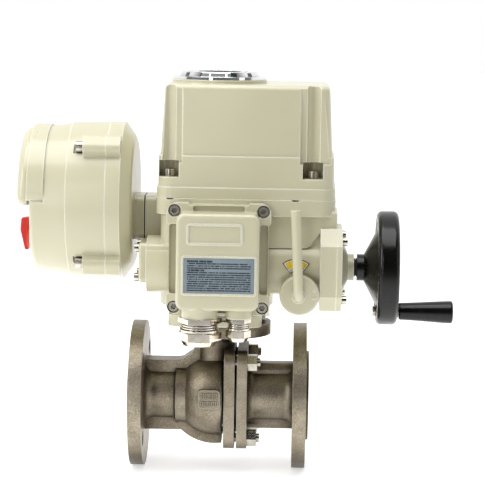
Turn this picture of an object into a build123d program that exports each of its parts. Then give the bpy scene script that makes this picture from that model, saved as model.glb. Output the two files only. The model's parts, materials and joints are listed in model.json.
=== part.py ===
"""Electric quarter-turn actuator on a flanged DN50 ball valve, as an assembly of separate pieces.

The origin is the centre of the inlet flange's raised face. X runs along the pipe to the outlet,
Z runs up along the stem, and the terminal box faces -Y. Millimetres throughout.
"""

from build123d import *
import math
import os

os.makedirs("parts", exist_ok=True)

# ---------------------------------------------------------------- driving dimensions
# Valve: DN50 PN16 flanges, full bore
face_to_face = 203.0
stem_x = 97.0
bore_r = 25.0
flange_r = 82.5
flange_thick = 18.0
raised_r = 50.5
raised_high = 3.0
pipe_bolt_circle_r = 62.5
pipe_bolt_hole_r = 9.0
neck_r = 29.5
fin_wide = 27.0
fin_r = 55.0
fin_half_high = 40.0
ball_r = 38.0
cavity_r = 39.5
chamber_r = 47.0
seat_pocket_r = 32.0
seat_inner_r = 26.0
seat_out = 33.5
joint_left = 11.0
joint_face = 23.0
gasket_thick = 2.6
tail_face = joint_face + gasket_thick
tail_flange_right = 37.0
joint_high = 112.0
joint_deep = 90.0
joint_bolt_y = 34.5
joint_bolt_z = 43.0
stem_r = 9.0
stem_neck_r = 22.0
pad_r = 41.5
pad_lobe_x = 13.0
pad_lobe_r = 49.0
pad_bottom = 71.5
spigot_outer_r = 26.0
pad_top = 85.0
stem_square = 14.0
slot_wide = 8.4
slot_floor = 30.5

# Actuator: heights above the pipe axis
foot_top = 98.0
base_joint = 106.0
gear_top = 172.0
floor_top = 200.0
flange_bottom = 213.0
seam = 231.0
shelf = 253.5
pocket_high = 18.0
panel_ledge = 276.5
cover_top = 354.0
boss_top = 358.0
gearcase_r = 64.0
gear_cavity_r = 44.0
base_neck_r = 54.0
worm_y = -50.0
worm_z = 155.0
motor_z = 200.0

# Worm drive: module 2.5, thirty teeth, single left-hand start
wheel_teeth = 30
wheel_pitch_r = 37.5
worm_pitch_r = 12.5
worm_lead = 2 * math.pi * wheel_pitch_r / wheel_teeth
worm_turns = 5
worm_core_r = 9.5
worm_bore_r = 18.0
left_z = 158.5

# Spur pair from the motor to the worm shaft: module 2
spur_teeth = 30
spur_pitch_r = 30.0
pinion_teeth = 15
pinion_pitch_r = 15.0

shaft_r = 8.0
fit_gap = 0.05
end_block_half = 45.0
end_block_cut = 17.0
end_left = 115.0
end_right = 133.0
lid_thick = 6.0

# Top housing outline, in distances from the stem axis
flange_x0 = -64.5
flange_x1 = 130.5
flange_half = 78.0
bulge = 3.5
screw_x = (-51.0, 105.5)
screw_y = 61.0

# Control box on the left
drum_z = 220.0
drum_r = 88.0
drum_back = -92.0
drum_seam = -120.0
drum_ring = -163.0
drum_face = -203.0
drum_step = -187.0
bulge_step = -205.5
bulge_face = -216.5
bulge_r = 84.5
bulge_front_r = 80.0
bulge_floor = 224.0
lug_circle_r = 90.0
neck_z = 202.5

# Terminal box on the front
box_x = 5.0
box_z = 166.9
box_back = -84.0
box_flange = -96.0
box_front = -125.0
box_bolt_x = 48.0
box_bolt_z = 52.5
large_gland_x = -13.8
small_gland_x = 27.9
gland_y = -105.0
hub_bottom = 104.9
label_x = 6.8
label_z = 153.0
label_wide = 75.0
label_high = 37.5

# Declutch lever and handwheel
lever_x = 93.1
lever_z = 129.3
lever_disc_r = 21.6
lever_back = -86.0
wheel_r = 62.5
rim_left = 177.5
rim_right = 200.5
grip_left = 203.0
grip_offset = 47.5
grip_angle = -100.0
grip_y = worm_y + grip_offset * math.cos(math.radians(grip_angle))
grip_z = worm_z + grip_offset * math.sin(math.radians(grip_angle))


# ---------------------------------------------------------------- planes and helpers
def level(z):
    """Horizontal plane at height z, centred on the stem axis."""
    return Plane(origin=(stem_x, 0, z))


def across(x):
    """Plane square to the pipe, x along from the stem axis; its own axes are Y and Z."""
    return Plane(origin=(stem_x + x, 0, 0), x_dir=(0, 1, 0), z_dir=(1, 0, 0))


def facing(y):
    """Upright plane at depth y that faces the front; its own axes are X and Z."""
    return Plane(origin=(stem_x, y, 0), x_dir=(1, 0, 0), z_dir=(0, -1, 0))


def disc(plane, x, y, radius, length, mode=Mode.ADD):
    """Round boss or hole of one radius, raised from the plane."""
    with BuildSketch(plane) as outline:
        with Locations((x, y)):
            Circle(radius)
    extrude(outline.sketch, amount=length, mode=mode)


def ring(plane, x, y, inner, outer, length):
    """Flat ring raised from the plane."""
    with BuildSketch(plane) as outline:
        with Locations((x, y)):
            Circle(outer)
            Circle(inner, mode=Mode.SUBTRACT)
    extrude(outline.sketch, amount=length)


def block(plane, x, y, wide, high, length, corner, mode=Mode.ADD):
    """Rounded rectangle raised from the plane."""
    with BuildSketch(plane) as outline:
        with Locations((x, y)):
            RectangleRounded(wide, high, corner)
    extrude(outline.sketch, amount=length, mode=mode)


def hexagon(plane, x, y, flats, length, mode=Mode.ADD):
    """Hexagonal prism, or socket when it is cut, raised from the plane."""
    with BuildSketch(plane) as outline:
        with Locations((x, y)):
            RegularPolygon(flats / 2, 6, major_radius=False)
    extrude(outline.sketch, amount=length, mode=mode)


def octagon(plane, x, y, half, cut, length):
    """Square with its corners cut off, raised from the plane."""
    with BuildSketch(plane) as outline:
        with Locations((x, y)):
            Rectangle(2 * half, 2 * half)
        chamfer(outline.vertices(), cut)
    extrude(outline.sketch, amount=length)


def holes(plane, points, radius, depth):
    """Round holes sunk below the plane."""
    for x, y in points:
        disc(plane, x, y, radius, -depth, mode=Mode.SUBTRACT)


def socket_screws(plane, points, size, head_high, length):
    """Socket-head screws of one thread size with heads standing on the plane."""
    for x, y in points:
        disc(plane, x, y, size * 0.78, head_high)
        disc(plane, x, y, size / 2, -length)
        hexagon(plane.offset(head_high), x, y, size * 0.8, -head_high * 0.6, mode=Mode.SUBTRACT)


def around(count, radius, start):
    """Points evenly spaced on a circle; start is the first one's angle."""
    turns = [math.radians(start + 360 * i / count) for i in range(count)]
    return [(radius * math.cos(turn), radius * math.sin(turn)) for turn in turns]


def gear_face(teeth, pitch_r, addendum, dedendum, half_pitch, start=0.0):
    """Straight-flanked tooth outline, with the first tooth's centre at the start angle."""
    tip_r = pitch_r + addendum
    root_r = pitch_r - dedendum
    points = []
    for i in range(teeth):
        centre = math.radians(start + 360 * i / teeth)
        for radius, half, sign in (
            (root_r, half_pitch * 1.5, -1),
            (tip_r, half_pitch * 0.6, -1),
            (tip_r, half_pitch * 0.6, 1),
            (root_r, half_pitch * 1.5, 1),
        ):
            turn = centre + sign * half / radius
            points.append((radius * math.cos(turn), radius * math.sin(turn)))
    return points


def finish(builder, label):
    """Label a finished piece and write it."""
    builder.part.label = label
    export_step(builder.part, f"parts/{label}.step")


def round_hollow(radius):
    """Ball-shaped hollow about the stem axis, turned about the pipe axis."""
    with BuildSketch(facing(0)) as half:
        with BuildLine():
            CenterArc((0, 0), radius, 0, 180)
            Line((-radius, 0), (radius, 0))
        make_face()
    revolve(half.sketch, axis=Axis.X, mode=Mode.SUBTRACT)


joint_bolts = [(y, z) for y in (-joint_bolt_y, joint_bolt_y) for z in (-joint_bolt_z, joint_bolt_z)]
foot_bolts = [(51.0, 0), (10.0, 38.5), (-33.0, 0), (10.0, -38.5)]
base_bolts = around(4, 49.0, 45)
cover_bolts = [(x, y) for x in screw_x for y in (-screw_y, screw_y)]
box_bolts = [(box_x + sx * box_bolt_x, box_z + sz * box_bolt_z) for sx in (-1, 1) for sz in (-1, 1)]
lid_bolts = [(worm_y + y, worm_z + z) for y in (-32, 32) for z in (-32, 32)]
left_bolts = [(worm_y + y, left_z + z) for y in (-20, 20) for z in (-16, 16)]
lug_bolts = [(y, drum_z + z) for y, z in around(4, lug_circle_r, 45)]

# ---------------------------------------------------------------- valve
# Body casting: inlet flange, neck, ball chamber, stem neck and top pad
with BuildPart() as valve_body:
    inner_face = -stem_x + flange_thick
    with BuildSketch(facing(0)) as outline:
        with BuildLine():
            Polyline(
                (8, 0),
                (-stem_x, 0),
                (-stem_x, raised_r),
                (-stem_x + raised_high, raised_r),
                (-stem_x + raised_high, flange_r),
                (inner_face, flange_r),
                (inner_face, neck_r + 10),
            )
            CenterArc((inner_face + 10, neck_r + 10), 10, 180, 90)
            step_start = -math.sqrt(chamber_r**2 - 34.0**2)
            Polyline((inner_face + 10, neck_r), (-46, neck_r), (-44, 34), (step_start, 34))
            CenterArc((0, 0), chamber_r, math.degrees(math.atan2(34.0, step_start)), -55)
            last = math.degrees(math.atan2(34.0, step_start)) - 55
            corner = (chamber_r * math.cos(math.radians(last)), chamber_r * math.sin(math.radians(last)))
            Polyline(corner, (8, corner[1]), (8, 0))
        make_face()
    revolve(axis=Axis.X)
    with BuildSketch(facing(0)) as fin:
        with Locations((-58, 0)):
            Rectangle(56, 2 * fin_half_high)
        Circle(fin_r)
        with Locations((50, 0)):
            Rectangle(84, 120, mode=Mode.SUBTRACT)
        with BuildLine():
            CenterArc((-stem_neck_r - 22, fin_half_high + 22), 22, -90, 90)
            Polyline(
                (-stem_neck_r, fin_half_high + 22),
                (-stem_neck_r / 2, fin_half_high + 22),
                (-stem_neck_r / 2, fin_half_high - 1),
                (-stem_neck_r - 22, fin_half_high - 1),
                (-stem_neck_r - 22, fin_half_high),
            )
        make_face()
    extrude(amount=fin_wide / 2, both=True)
    block(across(joint_left), 0, 0, joint_deep, joint_high, joint_face - joint_left, 14)
    with BuildSketch(facing(0)) as neck_outline:
        with BuildLine():
            Polyline((0, pad_top), (0, 25), (stem_neck_r, 25), (stem_neck_r, pad_bottom - 12))
            CenterArc((stem_neck_r + 12, pad_bottom - 12), 12, 180, -90)
            Polyline((stem_neck_r + 12, pad_bottom), (pad_r, pad_bottom), (pad_r, pad_top), (0, pad_top))
        make_face()
    revolve(axis=Axis((stem_x, 0, 0), (0, 0, 1)))
    disc(level(pad_bottom), pad_lobe_x, 0, pad_lobe_r, pad_top - pad_bottom)
    block(facing(-38), -5, 2.6, 25, 22, 11, 5)
    round_hollow(cavity_r)
    block(across(joint_face), 0, -3.5, 70, joint_high + 9, 20, 1, mode=Mode.SUBTRACT)
    disc(across(0), 0, 0, cavity_r, joint_face, mode=Mode.SUBTRACT)
    disc(across(-seat_out), 0, 0, seat_pocket_r, seat_out, mode=Mode.SUBTRACT)
    disc(across(-stem_x), 0, 0, bore_r, 70, mode=Mode.SUBTRACT)
    disc(level(35), 0, 0, 13, 11.5, mode=Mode.SUBTRACT)
    disc(level(40), 0, 0, stem_r + fit_gap, 45, mode=Mode.SUBTRACT)
    disc(level(60), 0, 0, 14, 25, mode=Mode.SUBTRACT)
    disc(level(pad_top - 3), 0, 0, spigot_outer_r, 3, mode=Mode.SUBTRACT)
    holes(across(-stem_x + 30), around(4, pipe_bolt_circle_r, 45), pipe_bolt_hole_r, 30)
    holes(across(joint_face), joint_bolts, 5.1, joint_face - joint_left)
    holes(level(pad_top), foot_bolts, 5.1, 15)
finish(valve_body, "valve_body")

# Tail piece: spigot, joint flange, neck and outlet flange
with BuildPart() as valve_tail_piece:
    outlet = face_to_face - stem_x
    outer_face = outlet - flange_thick
    with BuildSketch(facing(0)):
        with BuildLine():
            Polyline((30, 0), (30, neck_r + 8), (tail_flange_right, neck_r + 8))
            CenterArc((tail_flange_right + 8, neck_r + 8), 8, 180, 90)
            Line((tail_flange_right + 8, neck_r), (outer_face - 10, neck_r))
            CenterArc((outer_face - 10, neck_r + 10), 10, 270, 90)
            Polyline(
                (outer_face, neck_r + 10),
                (outer_face, flange_r),
                (outlet - raised_high, flange_r),
                (outlet - raised_high, raised_r),
                (outlet, raised_r),
                (outlet, 0),
                (30, 0),
            )
        make_face()
    revolve(axis=Axis.X)
    block(across(tail_face), 0, 0, joint_deep, joint_high, tail_flange_right - tail_face, 14)
    block(across(tail_flange_right - 2), 0, 0, fin_wide, 76, outer_face + 6 - tail_flange_right, 8)
    disc(across(15), 0, 0, cavity_r - 0.2, tail_face - 13)
    round_hollow(36.5)
    disc(across(14), 0, 0, seat_pocket_r, seat_out - 14, mode=Mode.SUBTRACT)
    disc(across(14), 0, 0, 36.5, 8, mode=Mode.SUBTRACT)
    disc(across(30), 0, 0, bore_r, outlet - 30, mode=Mode.SUBTRACT)
    holes(across(outlet), around(4, pipe_bolt_circle_r, 45), pipe_bolt_hole_r, 30)
    holes(across(tail_flange_right), joint_bolts, 5.1, tail_flange_right - tail_face)
finish(valve_tail_piece, "valve_tail_piece")

with BuildPart() as body_joint_gasket:
    ring(across(joint_face), 0, 0, cavity_r, 43, gasket_thick)
finish(body_joint_gasket, "body_joint_gasket")

with BuildPart() as body_joint_studs:
    for y, z in joint_bolts:
        disc(across(joint_left), y, z, 5, 40.5)
finish(body_joint_studs, "body_joint_studs")

with BuildPart() as body_joint_nuts:
    for y, z in joint_bolts:
        hexagon(across(tail_flange_right), y, z, 17, 11)
    holes(across(60), joint_bolts, 5.1, 40)
finish(body_joint_nuts, "body_joint_nuts")

# Full-bore ball with a driving slot across its top
with BuildPart() as ball:
    with Locations((stem_x, 0, 0)):
        Sphere(ball_r)
    disc(across(-ball_r), 0, 0, bore_r, 2 * ball_r, mode=Mode.SUBTRACT)
    block(level(slot_floor), 0, 0, slot_wide, 2 * ball_r, 10, 1, mode=Mode.SUBTRACT)
finish(ball, "ball")

with BuildPart() as seat_rings:
    seat_r = ball_r + 0.08
    inner_x = math.sqrt(seat_r**2 - seat_inner_r**2)
    outer_x = math.sqrt(seat_r**2 - seat_pocket_r**2)
    middle_turn = math.radians(38)
    for side in (-1, 1):
        with BuildSketch(facing(0)) as section:
            with BuildLine():
                ThreePointArc(
                    (side * inner_x, seat_inner_r),
                    (side * seat_r * math.sin(middle_turn + 0.13), seat_r * math.cos(middle_turn + 0.13)),
                    (side * outer_x, seat_pocket_r),
                )
                Polyline(
                    (side * outer_x, seat_pocket_r),
                    (side * seat_out, seat_pocket_r),
                    (side * seat_out, seat_inner_r),
                    (side * inner_x, seat_inner_r),
                )
            make_face()
        revolve(section.sketch, axis=Axis.X)
finish(seat_rings, "seat_rings")

# Blow-out proof stem: tang, collar, round shank, square top
with BuildPart() as valve_stem:
    block(level(slot_floor + 0.5), 0, 0, 8, 20, 10, 1)
    disc(level(40.5), 0, 0, 12.5, 4.5)
    disc(level(45), 0, 0, stem_r, 43)
    with BuildSketch(level(88)):
        Circle(stem_r)
        Rectangle(stem_square, stem_square, mode=Mode.INTERSECT)
    extrude(amount=30)
finish(valve_stem, "valve_stem")

with BuildPart() as stem_thrust_washer:
    ring(level(45.05), 0, 0, stem_r + fit_gap, 12.9, 1.4)
finish(stem_thrust_washer, "stem_thrust_washer")

with BuildPart() as stem_packing:
    for row in range(3):
        ring(level(60 + 4 * row), 0, 0, stem_r + fit_gap, 14, 3.9)
finish(stem_packing, "stem_packing")

with BuildPart() as packing_gland:
    ring(level(72), 0, 0, stem_r + 0.1, 13.9, 11)
    hexagon(level(82), 0, 0, 32, 2.5)
    disc(level(72), 0, 0, stem_r + 0.1, 13, mode=Mode.SUBTRACT)
finish(packing_gland, "packing_gland")

# ---------------------------------------------------------------- actuator base and housing
with BuildPart() as base_plate:
    block(level(pad_top), 0, 0, 104, 104, foot_top - pad_top, 14)
    disc(level(foot_top), 0, 0, base_neck_r, base_joint - foot_top)
    for x, y in foot_bolts:
        for out in (1.0, 1.25, 1.5):
            disc(level(pad_top + 6), out * x, out * y, 11, foot_top - pad_top - 6, mode=Mode.SUBTRACT)
    ring(level(pad_top - 2.8), 0, 0, 22, spigot_outer_r - 0.1, 2.8)
    disc(level(pad_top - 3), 0, 0, 22, 12, mode=Mode.SUBTRACT)
    disc(level(94), 0, 0, 24, 12, mode=Mode.SUBTRACT)
    holes(level(pad_top + 6), foot_bolts, 5.1, 6)
    for x, y in base_bolts:
        disc(level(pad_top), x, y, 4.8, 14, mode=Mode.SUBTRACT)
        disc(level(pad_top), x, y, 3.1, 22, mode=Mode.SUBTRACT)
finish(base_plate, "base_plate")

with BuildPart() as base_plate_screws:
    below = Plane(origin=(stem_x, 0, pad_top + 14), x_dir=(1, 0, 0), z_dir=(0, 0, -1))
    socket_screws(below, base_bolts, 6, 6, 18)
finish(base_plate_screws, "base_plate_screws")

with BuildPart() as mounting_bolts:
    for x, y in foot_bolts:
        hexagon(level(pad_top + 6), x, y, 17, 6.4)
        disc(level(pad_top + 6), x, y, 5, -20)
finish(mounting_bolts, "mounting_bolts")


def housing_outline(inset, rise=0.0):
    """Rounded outline with slightly bulging sides, shared by the housing flange and top cover."""
    x0 = flange_x0 + inset
    x1 = flange_x1 - inset
    half = flange_half - inset
    middle = (x0 + x1) / 2
    with BuildSketch(level(rise)) as outline:
        with BuildLine():
            ThreePointArc((x0, -half), (middle, -half - bulge), (x1, -half))
            ThreePointArc((x1, -half), (x1 + bulge / 3, 0), (x1, half))
            ThreePointArc((x1, half), (middle, half + bulge), (x0, half))
            ThreePointArc((x0, half), (x0 - bulge / 3, 0), (x0, -half))
        make_face()
        fillet(outline.vertices(), 17 - inset)
    return outline.sketch


# Gear housing: gearcase drum, worm tube, end block, motor bay and top flange in one casting
with BuildPart() as gear_housing:
    disc(level(base_joint), 0, 0, gearcase_r, flange_bottom - base_joint)
    disc(across(-75), worm_y, worm_z, 31.5, 187)
    block(across(-75), worm_y, left_z, 52, 44, 40, 6)
    block(level(178), 32.5, 0, 185, 148, flange_bottom - 178, 14)
    block(across(100), worm_y, 204, 48, 30, end_right - 100, 4)
    with BuildSketch(facing(-90)) as sweep_up:
        with BuildLine():
            Spline((95, 177.5), (103, 180), (109, 187), (114, 194), (121, 196.5))
            Polyline((121, 196.5), (121, 170), (95, 170), (95, 177.5))
        make_face()
    extrude(sweep_up.sketch, amount=-19.5, mode=Mode.SUBTRACT)
    disc(across(60), worm_y, worm_z, 31.5, 55)
    octagon(across(end_left), worm_y, worm_z, end_block_half, end_block_cut, end_right - end_left)
    extrude(housing_outline(0, flange_bottom), amount=seam - flange_bottom)
    block(facing(-60), box_x, box_z, 106, 117, -60 - box_back, 6)
    block(across(-80), 0, neck_z, 50, 50, 30, 8)
    disc(facing(-60), lever_x, lever_z, 16, 25)
    # Gear cavity, worm bore, spur chamber and pinion pocket
    disc(level(base_joint), 0, 0, gear_cavity_r, gear_top - base_joint, mode=Mode.SUBTRACT)
    disc(across(-75), worm_y, worm_z, worm_bore_r, 195, mode=Mode.SUBTRACT)
    disc(across(end_left + 2.5), worm_y, worm_z, 38, end_right - end_left, mode=Mode.SUBTRACT)
    disc(across(112), worm_y, motor_z, 18.5, 16, mode=Mode.SUBTRACT)
    # Motor bay and electrical compartment
    block(level(179.5), 52, worm_y, 88, 41.5, 60, 3, mode=Mode.SUBTRACT)
    disc(across(94), worm_y, motor_z, 5, 20, mode=Mode.SUBTRACT)
    with BuildSketch(level(floor_top)) as compartment:
        with Locations((33, 0)):
            RectangleRounded(172, 136, 10)
        with Locations(*cover_bolts):
            Circle(13, mode=Mode.SUBTRACT)
    extrude(compartment.sketch, amount=40, mode=Mode.SUBTRACT)
    disc(level(gear_top - 2), 0, 0, 16, 40, mode=Mode.SUBTRACT)
    # Cable way to the control box
    disc(across(-80), 0, 206, 12, 40, mode=Mode.SUBTRACT)
    # Bored holes
    disc(facing(-36), lever_x, lever_z, 6 + fit_gap, 60, mode=Mode.SUBTRACT)
    holes(level(seam), cover_bolts, 4.1, 12.5)
    holes(facing(box_back), box_bolts, 4.1, 16)
    holes(across(end_right), lid_bolts, 3.1, 4.2)
    for y, z in left_bolts:
        disc(across(-75), y, z, 3.1, 14, mode=Mode.SUBTRACT)
    for x, y in base_bolts:
        disc(level(base_joint), x, y, 3.1, 12, mode=Mode.SUBTRACT)
    with BuildSketch(level(seam)) as pry_slots:
        with Locations((-49, -79), (87, -79.5)):
            Rectangle(7, 10)
    extrude(pry_slots.sketch, amount=-1.6, mode=Mode.SUBTRACT)
finish(gear_housing, "gear_housing")

# ---------------------------------------------------------------- drive train
# Output shaft: socket for the drive sleeve, wheel seat, upper journal and indicator spindle
with BuildPart() as output_shaft:
    disc(level(94), 0, 0, 20, 78)
    disc(level(172), 0, 0, 12, 34)
    disc(level(206), 0, 0, 6, 144)
    with BuildSketch(level(94)):
        Rectangle(24, 24, rotation=45)
    extrude(amount=34, mode=Mode.SUBTRACT)
    disc(level(128), 0, 0, 8, 6, mode=Mode.SUBTRACT)
finish(output_shaft, "output_shaft")

with BuildPart() as drive_sleeve:
    with BuildSketch(level(95)):
        Rectangle(23.9, 23.9, rotation=45)
        Rectangle(stem_square + 0.1, stem_square + 0.1, mode=Mode.SUBTRACT)
    extrude(amount=30)
finish(drive_sleeve, "drive_sleeve")

with BuildPart() as output_bushes:
    ring(level(foot_top), 0, 0, 20 + fit_gap, 24, base_joint - foot_top)
    ring(level(176), 0, 0, 12 + fit_gap, 16, 20)
finish(output_bushes, "output_bushes")

with BuildPart() as worm_wheel:
    with BuildSketch(level(worm_z - 7)):
        with BuildLine():
            Polyline(*gear_face(wheel_teeth, wheel_pitch_r, 2.0, 2.9, 1.3), close=True)
        make_face()
    extrude(amount=14)
    ring(level(worm_z - 12), 0, 0, 19, 27, 24)
    disc(level(worm_z - 20), 0, 0, 20, 40, mode=Mode.SUBTRACT)
finish(worm_wheel, "worm_wheel")

# Worm: the thread's centre passes X = 0 on the wheel side when the valve is open
thread_start = -(worm_turns / 2 + 0.25) * worm_lead
thread_end_r = worm_pitch_r + 2.0
helix = Edge.make_helix(worm_lead, worm_turns * worm_lead, worm_core_r, lefthand=True)
tooth_plane = Plane(origin=helix @ 0, x_dir=(1, 0, 0), z_dir=helix % 0)
with BuildSketch(tooth_plane) as thread_outline:
    with BuildLine():
        Polyline((-0.6, -1.9), (-0.6, 1.9), (thread_end_r - worm_core_r, 0.75),
                 (thread_end_r - worm_core_r, -0.75), close=True)
    make_face()
thread = sweep(thread_outline.sketch, path=helix, is_frenet=True, mode=Mode.PRIVATE)
thread = Pos(stem_x + thread_start, worm_y, worm_z) * Rot(0, 90, 0) * thread
with BuildPart() as worm_shaft:
    disc(across(-30), worm_y, worm_z, worm_core_r, 60)
    add(thread)
    disc(across(-68), worm_y, worm_z, shaft_r, 246.5)
    disc(across(-56), worm_y, worm_z, 12, 26)
    disc(across(30), worm_y, worm_z, 12, 68)
finish(worm_shaft, "worm_shaft")

with BuildPart() as worm_bearings:
    ring(across(-70), worm_y, worm_z, shaft_r + fit_gap, worm_bore_r, 12)
    ring(across(100), worm_y, worm_z, shaft_r + fit_gap, worm_bore_r, 12)
    for x in (-70, 112):
        with BuildSketch(across(x)) as groove:
            with Locations((worm_y, worm_z)):
                Circle(15)
                Circle(11, mode=Mode.SUBTRACT)
        extrude(groove.sketch, amount=1 if x < 0 else -1, mode=Mode.SUBTRACT)
finish(worm_bearings, "worm_bearings")

with BuildPart() as worm_spur_gear:
    with BuildSketch(across(118)):
        with BuildLine():
            points = gear_face(spur_teeth, spur_pitch_r, 1.8, 2.4, 1.2)
            Polyline(*[(worm_y + y, worm_z + z) for y, z in points], close=True)
        make_face()
    extrude(amount=9)
    disc(across(110), worm_y, worm_z, shaft_r, 30, mode=Mode.SUBTRACT)
    holes(across(127), [(worm_y + y, worm_z + z) for y, z in around(6, 19, 0)], 5, 9)
finish(worm_spur_gear, "worm_spur_gear")

# Motor lies in the bay above the worm, with its pinion beyond the bay's end wall
with BuildPart() as motor:
    disc(across(14), worm_y, motor_z, 19.5, 76)
    disc(across(90), worm_y, motor_z, 8, 4)
    disc(across(85), worm_y, motor_z, 4 + fit_gap, 9, mode=Mode.SUBTRACT)
    for x in (26, 78):
        with BuildSketch(across(x)) as groove:
            with Locations((worm_y, motor_z)):
                Circle(19.5)
                Circle(18.7, mode=Mode.SUBTRACT)
        extrude(groove.sketch, amount=2, mode=Mode.SUBTRACT)
finish(motor, "motor")

with BuildPart() as motor_pinion:
    with BuildSketch(across(117)):
        with BuildLine():
            points = gear_face(pinion_teeth, pinion_pitch_r, 1.8, 2.4, 1.2, start=-90)
            Polyline(*[(worm_y + y, motor_z + z) for y, z in points], close=True)
        make_face()
    extrude(amount=10)
    disc(across(86), worm_y, motor_z, 4, 32)
finish(motor_pinion, "motor_pinion")

with BuildPart() as left_end_cover:
    block(across(-75), worm_y, left_z, 52, 44, -8, 6)
    disc(across(-77), worm_y, worm_z, shaft_r + 2, 2, mode=Mode.SUBTRACT)
    holes(across(-75), left_bolts, 3.1, 8)
    chamfer(left_end_cover.faces().sort_by(Axis.X)[0].outer_wire().edges(), 1.5)
finish(left_end_cover, "left_end_cover")

with BuildPart() as right_end_cover:
    octagon(across(end_right), worm_y, worm_z, end_block_half, end_block_cut, lid_thick)
    with BuildSketch(across(end_right + lid_thick)) as cone_foot:
        with Locations((worm_y, worm_z)):
            Circle(30.8)
    extrude(cone_foot.sketch, amount=7, taper=66)
    disc(across(end_right), worm_y, worm_z, 14.7, 19.5)
    disc(across(end_right), worm_y, worm_z, shaft_r + fit_gap, 15, mode=Mode.SUBTRACT)
    disc(across(end_right + 15), worm_y, worm_z, 12, 10, mode=Mode.SUBTRACT)
    holes(across(end_right + lid_thick), lid_bolts, 3.1, lid_thick)
finish(right_end_cover, "right_end_cover")

with BuildPart() as end_cover_screws:
    socket_screws(across(end_right + lid_thick), lid_bolts, 6, 5.5, 10)
    leftward = Plane(origin=(stem_x - 83, 0, 0), x_dir=(0, 1, 0), z_dir=(-1, 0, 0))
    socket_screws(leftward, [(y, -z) for y, z in left_bolts], 6, 5, 18)
finish(end_cover_screws, "end_cover_screws")

with BuildPart() as shaft_seal:
    ring(across(end_right + 15), worm_y, worm_z, shaft_r + 0.1, 11.9, 4.5)
    ring(across(end_right + 19.5), worm_y, worm_z, shaft_r + 0.1, 8.9, 3)
    for rib in (0, 1.7):
        ring(across(end_right + 20.2 + rib), worm_y, worm_z, shaft_r + 0.1, 10.2, 0.9)
finish(shaft_seal, "shaft_seal")

# ---------------------------------------------------------------- handwheel
# Dished wheel: hub, sloping web with three windows, rounded rim and grip boss
with BuildPart() as handwheel:
    with BuildSketch(facing(worm_y)):
        with BuildLine():
            Polyline(
                (156, worm_z), (156, worm_z + 14.7), (163.5, worm_z + 14.7), (178.5, worm_z + 43),
                (179, worm_z + 54), (189, worm_z + 54), (188, worm_z + 46), (174.5, worm_z + 15.5),
                (174.5, worm_z), (156, worm_z),
            )
        make_face()
    revolve(axis=Axis((0, worm_y, worm_z), (1, 0, 0)))
    with BuildSketch(facing(worm_y)) as rim:
        with Locations(((rim_left + rim_right) / 2, worm_z + 55.5)):
            RectangleRounded(rim_right - rim_left, 14, 5.5)
    revolve(rim.sketch, axis=Axis((0, worm_y, worm_z), (1, 0, 0)))
    for middle in (45, 165, 285):
        with BuildSketch(across(150)) as window:
            with Locations((worm_y, worm_z)):
                with BuildLine():
                    inner_arc = CenterArc((0, 0), 22, middle - 34, 68)
                    outer_arc = CenterArc((0, 0), 46, middle - 46, 92)
                    Line(inner_arc @ 0, outer_arc @ 0)
                    Line(inner_arc @ 1, outer_arc @ 1)
                make_face()
            fillet(window.vertices(), 4)
        extrude(window.sketch, amount=50, mode=Mode.SUBTRACT)
    disc(across(180), grip_y, grip_z, 8.6, rim_right + 0.7 - 180)
    disc(across(150), worm_y, worm_z, shaft_r, 60, mode=Mode.SUBTRACT)
    disc(across(175), grip_y, grip_z, 4, 40, mode=Mode.SUBTRACT)
    disc(across(164), grip_y, grip_z, 6.6, 15, mode=Mode.SUBTRACT)
finish(handwheel, "handwheel")

with BuildPart() as handwheel_nut:
    ring(across(174.5), worm_y, worm_z, shaft_r, 11, 4)
    hexagon(across(178.5), worm_y, worm_z, 17, 7)
finish(handwheel_nut, "handwheel_nut")

with BuildPart() as grip_spindle:
    hexagon(across(179), grip_y, grip_z, 10, -5)
    disc(across(174), grip_y, grip_z, 4, 76)
    ring(across(rim_right + 0.7), grip_y, grip_z, 4, 7, 1.2)
    disc(across(250), grip_y, grip_z, 6, 4)
finish(grip_spindle, "grip_spindle")

with BuildPart() as handwheel_grip:
    with BuildSketch(facing(grip_y)):
        with BuildLine():
            Polyline((grip_left, grip_z), (grip_left, grip_z + 8.4), (grip_left + 1.2, grip_z + 9.4))
            Spline(
                (grip_left + 1.2, grip_z + 9.4), (222, grip_z + 10.2),
                (242, grip_z + 11.5), (259.5, grip_z + 12.4),
            )
            CenterArc((259.5, grip_z + 9.9), 2.5, 90, -90)
            Polyline((262, grip_z + 9.9), (262, grip_z), (grip_left, grip_z))
        make_face()
    revolve(axis=Axis((0, grip_y, grip_z), (1, 0, 0)))
    disc(across(grip_left), grip_y, grip_z, 4.05, 47.3, mode=Mode.SUBTRACT)
    disc(across(249.7), grip_y, grip_z, 6.3, 4.6, mode=Mode.SUBTRACT)
finish(handwheel_grip, "handwheel_grip")

# ---------------------------------------------------------------- declutch lever
with BuildPart() as clutch_lever:
    disc(facing(lever_back), lever_x, lever_z, lever_disc_r, 12)
    fillet(clutch_lever.faces().sort_by(Axis.Y)[0].edges(), 2)
    disc(facing(lever_back - 11), lever_x - 0.5, lever_z - 1, 7.4, 2.4)
    with BuildLine() as rod_path:
        FilletPolyline(
            (stem_x + lever_x - 1, -94, lever_z - 1),
            (stem_x + lever_x - 1, -107, lever_z - 1),
            (stem_x + lever_x - 5.6, -107, lever_z + 93.5),
            radius=8,
        )
    with BuildSketch(Plane(origin=rod_path.line @ 0, z_dir=rod_path.line % 0)):
        Circle(5.3)
    sweep(path=rod_path.line)
    disc(facing(lever_back + 1), lever_x, lever_z, 6, 10, mode=Mode.SUBTRACT)
    for z in (-2.5, 5.5):
        disc(facing(lever_back - 11), lever_x + 16, lever_z + z, 1.6, 1.5)
finish(clutch_lever, "clutch_lever")

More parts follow.
